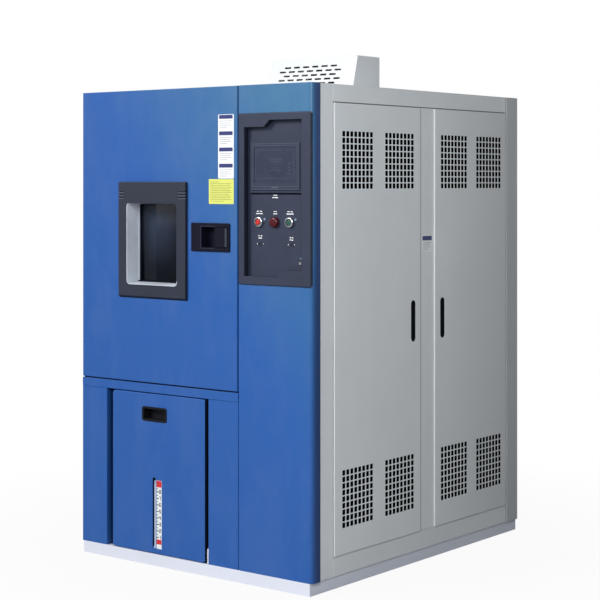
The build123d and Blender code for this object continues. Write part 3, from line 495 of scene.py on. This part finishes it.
def frame_boxes(x, z, width, y):
    """Four strips round the inside of the spans x and z."""
    between = (z[0] + width, z[1] - width)
    return [
        box(x, y, (z[1] - width, z[1])),
        box(x, y, (z[0], z[0] + width)),
        box((x[0], x[0] + width), y, between),
        box((x[1] - width, x[1]), y, between),
    ]


def ruled(span, skin, shortenings, top, step, high, axis="y"):
    """Plain lines one under another on a face, each shorter than the span by its own amount."""
    lines = []
    for row, shortening in enumerate(shortenings):
        line = (span[0], span[1] - shortening)
        line_z = (top - row * step, top - row * step + high)
        lines.append(box(line, skin, line_z) if axis == "y" else box(skin, line, line_z))
    return lines


# Door cards: a white strip with four blue headers, and a yellow card, both with plain ruled lines
CARDS_RIGHT = 780
STRIP_X = (705, CARDS_RIGHT)
STRIP_ROWS = (0, 9, 3, 22)
HEADER_HALF = 7
HEADER_Y = (DOOR_FACE - 0.9, DOOR_FACE - 0.5)
STRIP_LINE_Y = (DOOR_FACE - 0.75, DOOR_FACE - 0.5)
strip = box(STRIP_X, (DOOR_FACE - 0.6, DOOR_FACE), (1463, 1697))
label("door_strip", "main_door", strip, "card_white", radius=4)
strip_lines = []
for number, header_z in enumerate((1688, 1628, 1569, 1510)):
    header = box(inset(STRIP_X, 5), HEADER_Y, (header_z - HEADER_HALF, header_z + HEADER_HALF))
    label(f"strip_header_{number}", "main_door", header, "card_blue")
    strip_lines += ruled((713, 771), STRIP_LINE_Y, STRIP_ROWS, header_z - 16, step=7.5, high=1.6)
slabs("strip_lines", "main_door", strip_lines, "ink_grey")

YELLOW_ROWS = (64, 4, 9, 2, 12, 6, 3, 18, 5, 8, 4, 40)
YELLOW_LINE_Y = (DOOR_FACE - 0.95, DOOR_FACE - 0.7)
yellow = box((660, CARDS_RIGHT), (DOOR_FACE - 0.8, DOOR_FACE), (1370, 1461))
label("yellow_card", "main_door", yellow, "card_yellow")
yellow_lines = ruled((668, 773), YELLOW_LINE_Y, YELLOW_ROWS, top=1450, step=6.4, high=1.5)
slabs("card_lines", "main_door", yellow_lines, "ink_olive")

# Card on the mullion, with its header and ruled lines
MULLION_Y = (695, 762)
MULLION_ROWS = (2, 10, 4, 24)
mullion_card = box((FRAME_FACE, FRAME_FACE + 0.6), MULLION_Y, (1183, 1245))
mullion_header = box((FRAME_FACE + 0.5, FRAME_FACE + 0.9), inset(MULLION_Y, 2), (1226, 1243))
MULLION_LINE_X = (FRAME_FACE + 0.5, FRAME_FACE + 0.8)
label("mullion_card", "cabinet", mullion_card, "card_white", axis="x")
label("mullion_header", "cabinet", mullion_header, "card_blue", axis="x")
mullion_lines = ruled((701, 756), MULLION_LINE_X, MULLION_ROWS, top=1216, step=8, high=1.6, axis="x")
slabs("mullion_lines", "cabinet", mullion_lines, "ink_grey")

# Water level scale: red ends, evenly spaced ticks and plain numbers
SCALE_SKIN = (SCALE_FACE - 0.3, SCALE_FACE + 0.2)
for end, end_z in (("top", (300, 324.5)), ("low", (85, 103))):
    red_end = box((401.5, 426.5), SCALE_SKIN, end_z)
    label(f"scale_red_{end}", "water_drawer", red_end, "scale_red", radius=1)

# Strokes of each digit: top, upper left, upper right, middle, lower left, lower right, bottom
STROKES = {1: "25", 2: "02346", 3: "02356", 4: "1235", 5: "01356", 6: "013456", 7: "025", 8: "0123456"}


def digit_boxes(value, x, z, wide, high, line):
    """The strokes of a plain digit whose lower left corner is at x, z."""
    middle = z + high / 2
    full = (x, x + wide)
    left = (x, x + line)
    right = (x + wide - line, x + wide)
    upper = (middle, z + high)
    lower = (z, middle)
    spots = {
        "0": (full, (z + high - line, z + high)),
        "1": (left, upper),
        "2": (right, upper),
        "3": (full, (middle - line / 2, middle + line / 2)),
        "4": (left, lower),
        "5": (right, lower),
        "6": (full, (z, z + line)),
    }
    boxes = []
    for stroke in STROKES[value]:
        across, up = spots[stroke]
        boxes.append(box(across, SCALE_SKIN, up))
    return boxes


TICK_STEP = 24.5
TICK_LEFT = 402
DIGIT_LEFT = 415
TICKS_BOTTOM = 109
scale_marks = []
for step in range(8):
    tick_z = TICKS_BOTTOM + step * TICK_STEP
    half_z = tick_z + 12
    scale_marks.append(box((TICK_LEFT, TICK_LEFT + 10.5), SCALE_SKIN, (tick_z, tick_z + 3.6)))
    scale_marks.append(box((TICK_LEFT, TICK_LEFT + 6), SCALE_SKIN, (half_z, half_z + 2.5)))
    scale_marks.extend(digit_boxes(step + 1, DIGIT_LEFT, tick_z - 4, wide=8.5, high=14, line=2.4))
slabs("scale_marks", "water_drawer", scale_marks, "ink")

# Painted shade: near-black sheets behind the perforated fields, where the bay behind is in shade
MAT_X = (1121.0, 1138.4)
MAT_HALF_WIDE = 98
MAT_HALF_HIGH = 107
FIELD_HEIGHTS = (315, 1529.5)
for body, middles in (("side_door_front", (270, 536)), ("side_door_rear", (912, 1170))):
    mat_boxes = []
    for middle in middles:
        for height in FIELD_HEIGHTS:
            mat_y = (middle - MAT_HALF_WIDE, middle + MAT_HALF_WIDE)
            mat_z = (height - MAT_HALF_HIGH, height + MAT_HALF_HIGH)
            mat_boxes.append(box(MAT_X, mat_y, mat_z))
    slabs(f"{body}_mats", body, mat_boxes, "black_plug_and_shade")

# Painted highlight on the front ends of the side doors, and painted shadow lines beside them
LEAF_Z = (117.5, 1732.5)
for name, leaf_y in (("front", 131), ("rear", 776)):
    fold = [box((FRAME_FACE + 0.4, LEAF_FACE - 0.1), (leaf_y - 0.2, leaf_y + 0.2), LEAF_Z)]
    slabs(f"{name}_leaf_fold_highlight", f"side_door_{name}", fold, "fold_highlight")
LEAF_LINE = 2.6
LEAF_LINE_X = (FRAME_FACE - 0.1, FRAME_FACE + 0.2)
leaf_lines = [box(LEAF_LINE_X, (y, y + LEAF_LINE), LEAF_Z) for y in (127.4, 684.5)]
slabs("leaf_lines", "cabinet", leaf_lines, "seam_shadow")

# Shadow lines: over the side doors, under the main door and beside the drawer
side_seam = [box((FRAME_FACE - 0.1, FRAME_FACE + 0.3), (129, 1312), (1734.8, 1737.6))]
slabs("side_seam", "cabinet", side_seam, "seam_shadow")
door_gap = [box((4, 790), (5, 11), (685.8, 689.4))]
slabs("door_gap", "cabinet", door_gap, "shadow_line")
drawer_edge = [box((642.9, 643.3), (-2.5, 18), (50, 647))]
slabs("drawer_edge", "water_drawer", drawer_edge, "shadow_line")

# Plug at the top of the sight tube
tube_plug = [box((382.5, 393.5), (-7, 0), (325, 334))]
slabs("tube_plug", "water_drawer", tube_plug, "black_plug_and_shade", bevel=0.002)

# Guide block of the drawer, in the gap on its right
drawer_guide = [box((645, 656), (6, 44), (46, 100))]
slabs("drawer_guide", "cabinet", drawer_guide, "plinth_paint", bevel=0.0008)

# Spacer and seal strips round the window glass
OPENING = ((252.2, 508.8), (1063.5, 1369.8))
SPACER_Y = (52, 58)
GLASS_FACE = 69.8
spacer = frame_boxes(*OPENING, width=2, y=SPACER_Y)
slabs("window_spacer", "main_door", spacer, "plinth_paint")
seal = frame_boxes(*OPENING, width=3, y=(SPACER_Y[1], GLASS_FACE))
sill_ledge = box((263, OPENING[0][1]), (39, GLASS_FACE), (1064, 1072.5))
seal.append(sill_ledge)
slabs("window_seal", "main_door", seal, "shadow_line")

# Lips of the bezel over the top and right edges of the opening and over their corner
LIP_Y = (BEZEL_FACE + 0.05, BEZEL_FACE + 0.5)
lips = [
    box((247, 513.8), LIP_Y, (1369, 1373.5)),
    box((508, 512.5), LIP_Y, (1080, 1369)),
    box((502.5, 508), LIP_Y, (1363.5, 1369)),
]
slabs("bezel_lips", "main_door", lips, "bezel_plastic")

# Painted shade on the upper and painted highlight on the lower halves of the bezel's grooves
GROOVE_HALF = 2.9
GROOVE_BACK = -7.1
DARK_Y = (-8.2, GROOVE_BACK)
BRIGHT_Y = (BEZEL_FACE + 0.4, GROOVE_BACK)
groove_shadows = []
groove_highlights = []
for groove_z in (1390, 1401, 1412):
    for groove_x in ((207, 235.8), (514.2, 553)):
        upper = (groove_z, groove_z + GROOVE_HALF)
        lower = (groove_z - GROOVE_HALF, groove_z - 0.2)
        groove_shadows.append(box(groove_x, DARK_Y, upper))
        groove_highlights.append(box(groove_x, BRIGHT_Y, lower))
slabs("groove_shadows", "main_door", groove_shadows, "shadow_line")
slabs("groove_highlights", "main_door", groove_highlights, "groove_highlight")

# Painted highlights: a pale strip on the paddle's right end, and a faint lighter line round the finger
# pocket
paddle_strip = [box((746, 746.3), (-10.8, -0.5), (1213.5, 1281.5))]
slabs("paddle_highlight", "latch_paddle", paddle_strip, "paddle_highlight")
POCKET_X = (624, 692)
POCKET_Y = (-6.2, -5.9)
POCKET_Z = (1206, 1289)
POCKET_LINE = 1.5
beside = (POCKET_X[0] + POCKET_LINE, POCKET_X[1])
pocket_highlight = [
    box((POCKET_X[0], POCKET_X[0] + POCKET_LINE), POCKET_Y, POCKET_Z),
    box(beside, POCKET_Y, (POCKET_Z[0], POCKET_Z[0] + POCKET_LINE)),
    box(beside, POCKET_Y, (POCKET_Z[1] - POCKET_LINE, POCKET_Z[1])),
]
slabs("latch_pocket_highlight", "main_door", pocket_highlight, "well_plastic")

# Raised ridges on the screen's frame, painted lighter as their highlight; its dark display field with
# faint lines, and a key under it
OUTER_RIDGE = ((859, 1074), (1423, 1588))
INNER_RIDGE = ((864.5, 1067.5), (1434, 1581))
RIDGE_WIDE = 1.8
RIDGE_Y = (7.2, 8.2)
ridges = []
for spans in (OUTER_RIDGE, INNER_RIDGE):
    ridges += frame_boxes(*spans, width=RIDGE_WIDE, y=RIDGE_Y)
slabs("screen_ridges", "cabinet", ridges, "ridge")

DISPLAY_X = (874, 1049)
DISPLAY_Z = (1463, 1565)
DISPLAY_BACK = 10.1
BAR_Y = (9.6, DISPLAY_BACK)
display_inset = [box(inset(DISPLAY_X, 5), (9.85, DISPLAY_BACK), inset(DISPLAY_Z, 5))]
slabs("display_inset", "cabinet", display_inset, "display_dark")
display = frame_boxes(DISPLAY_X, DISPLAY_Z, width=1.2, y=(9.7, DISPLAY_BACK))
for bar_z, bar_x in ((1531, (931, 997)), (1522, (938, 990)), (1500, (948, 986)), (1491, (940, 1000))):
    display.append(box(bar_x, BAR_Y, (bar_z, bar_z + 1.6)))
for bar_z in (1478, 1490, 1502, 1514):
    display.append(box((1022, 1034), BAR_Y, (bar_z, bar_z + 3)))
slabs("display_lines", "cabinet", display, "display_line")
screen_key = [box((950, 980), (7.4, 8.2), (1427, 1434))]
slabs("screen_key", "cabinet", screen_key, "ridge", bevel=0.0003)

# Painted shadow: a dark strip under the screen
screen_shadow = [box((846, 1087), (16.5, 18.1), (1406, 1412))]
slabs("screen_shadow", "cabinet", screen_shadow, "shadow_line")

# Plain marks on the instrument plate: a broken line over a whole one, and dots beside the sockets
BUTTONS_X = (886, 1027)
BUTTON_Z = 1307
LAMP_X = 959
SOCKETS_X = (890, 1033)
MARK_Y = (17.6, 18.1)
MARK_HIGH = 3.2
MARK_GAP = 2.5
BREAK = 0.2

# Each mark: its middle x and z, then half the length of its upper and of its lower line
MARKS = (
    (BUTTONS_X[0], 1341, 12, 15),
    (LAMP_X, 1341, 7, 9),
    (BUTTONS_X[1], 1341, 12, 16),
    (LAMP_X, 1399, 8, 13),
    (SOCKETS_X[0], 1253, 9, 8),
    (SOCKETS_X[1], 1249, 8, 8),
)
marks = []
for x, z, upper, lower in MARKS:
    upper_z = (z + MARK_GAP, z + MARK_GAP + MARK_HIGH)
    lower_z = (z - MARK_GAP - MARK_HIGH, z - MARK_GAP)
    marks.append(box((x - upper, x - upper * BREAK), MARK_Y, upper_z))
    marks.append(box((x + upper * BREAK, x + upper), MARK_Y, upper_z))
    marks.append(box((x - lower, x + lower), MARK_Y, lower_z))
for socket_x in SOCKETS_X:
    for dot_x in (socket_x - 15, socket_x + 13):
        marks.append(box((dot_x, dot_x + 2.5), MARK_Y, (1226.5, 1230)))
slabs("panel_marks", "cabinet", marks, "card_white")
key_mark = [box((1071, 1079), MARK_Y, (1179, 1182))]
slabs("key_mark", "cabinet", key_mark, "toggle")

# A pale toggle at the upper right of each button's ring, and painted shade: a dark band round each cap
TOGGLE_Z = (BUTTON_Z + 6, BUTTON_Z + 14)
toggles = [box((x + 22, x + 30), (15, 18), TOGGLE_Z) for x in BUTTONS_X]
slabs("ring_toggles", "cabinet", toggles, "toggle", bevel=0.001)


def cap_shades(shape):
    for x in BUTTONS_X:
        washer(shape, (x, BUTTON_Z), radii=(11, 13.8), depths=(6.85, 7.1))


finish_piece(cap_shades, "cap_shades", "cabinet", "shadow_line")

# Room: pale floor and white surroundings


FLOOR_REACH = 40
GREY_UNTIL = 0.9
WHITE_FROM = 2.2


def make_floor():
    """A grey floor that takes the shadow, and looks white to the camera around and beyond it."""
    mesh = bpy.data.meshes.new("floor")
    shape = bmesh.new()
    bmesh.ops.create_grid(shape, x_segments=1, y_segments=1, size=FLOOR_REACH)
    shape.to_mesh(mesh)
    shape.free()
    floor = bpy.data.objects.new("floor", mesh)
    bpy.context.scene.collection.objects.link(floor)
    shader = Shader((0.42, 0.42, 0.42, 1), 0.7)
    shader.material.name = "floor"
    glow = shader.add("ShaderNodeEmission")
    glow.inputs["Color"].default_value = (1, 1, 1, 1)
    glow.inputs["Strength"].default_value = 1.0
    path = shader.add("ShaderNodeLightPath")
    length = shader.add("ShaderNodeVectorMath")
    length.operation = "LENGTH"
    shader.link(shader.coords, length.inputs[0])
    far = shader.ramp(length.outputs["Value"], 0.94, 1.0, GREY_UNTIL, WHITE_FROM)
    seen = shader.add("ShaderNodeMath")
    seen.operation = "MULTIPLY"
    shader.link(far, seen.inputs[0])
    shader.link(path.outputs["Is Camera Ray"], seen.inputs[1])
    blend = shader.add("ShaderNodeMixShader")
    shader.link(seen.outputs[0], blend.inputs[0])
    shader.link(shader.body.outputs[0], blend.inputs[1])
    shader.link(glow.outputs[0], blend.inputs[2])
    shader.link(blend.outputs[0], shader.output.inputs["Surface"])
    mesh.materials.append(shader.material)


make_floor()

SKY_STRENGTH = 0.10


def make_world():
    """White for the camera, for reflections and through glass, and a dim sky for everything else."""
    world = bpy.data.worlds.new("studio")
    bpy.context.scene.world = world
    world.use_nodes = True
    tree = world.node_tree
    tree.nodes.clear()
    output = tree.nodes.new("ShaderNodeOutputWorld")
    seen = tree.nodes.new("ShaderNodeBackground")
    seen.inputs["Color"].default_value = (1, 1, 1, 1)
    seen.inputs["Strength"].default_value = 1.0
    light = tree.nodes.new("ShaderNodeBackground")
    light.inputs["Color"].default_value = (0.93, 0.96, 1.0, 1)
    light.inputs["Strength"].default_value = SKY_STRENGTH
    path = tree.nodes.new("ShaderNodeLightPath")
    total = path.outputs["Is Camera Ray"]
    for ray in ("Is Glossy Ray", "Is Transmission Ray"):
        either = tree.nodes.new("ShaderNodeMath")
        either.operation = "MAXIMUM"
        tree.links.new(total, either.inputs[0])
        tree.links.new(path.outputs[ray], either.inputs[1])
        total = either.outputs[0]
    blend = tree.nodes.new("ShaderNodeMixShader")
    tree.links.new(total, blend.inputs[0])
    tree.links.new(light.outputs[0], blend.inputs[1])
    tree.links.new(seen.outputs[0], blend.inputs[2])
    tree.links.new(blend.outputs[0], output.inputs["Surface"])


make_world()


def area_light(name, spot, aim, size, power, colour=(1, 1, 1)):
    data = bpy.data.lights.new(name, "AREA")
    data.shape = "RECTANGLE"
    data.size, data.size_y = size
    data.energy = power
    data.color = colour
    lamp = bpy.data.objects.new(name, data)
    lamp.location = spot
    lamp.rotation_euler = (Vector(aim) - Vector(spot)).to_track_quat("-Z", "Y").to_euler()
    bpy.context.scene.collection.objects.link(lamp)


AIM = (0, 0, 0.9)
area_light("key", (-4.0, -8.5, 6.0), AIM, (3.0, 3.0), 780, (1.0, 0.99, 0.98))
area_light("side", (2.6, -3.2, 2.5), AIM, (1.2, 1.4), 84, (0.94, 0.98, 1.0))
area_light("top", (0.3, 0.2, 5.5), AIM, (4.0, 4.0), 60)

# Camera at the photograph's viewpoint
EYE = (4.0036, -5.1325, 1.4492)
TURN = math.radians(38.2)
camera_data = bpy.data.cameras.new("camera")
camera = bpy.data.objects.new("camera", camera_data)
bpy.context.scene.collection.objects.link(camera)
bpy.context.scene.camera = camera
camera.location = EYE
camera.rotation_euler = (math.radians(90), 0, TURN)
camera_data.sensor_width = 36.0
camera_data.lens = 96.4
camera_data.shift_y = -0.1961
camera_data.clip_end = 100

bpy.context.scene.view_settings.view_transform = "Standard"
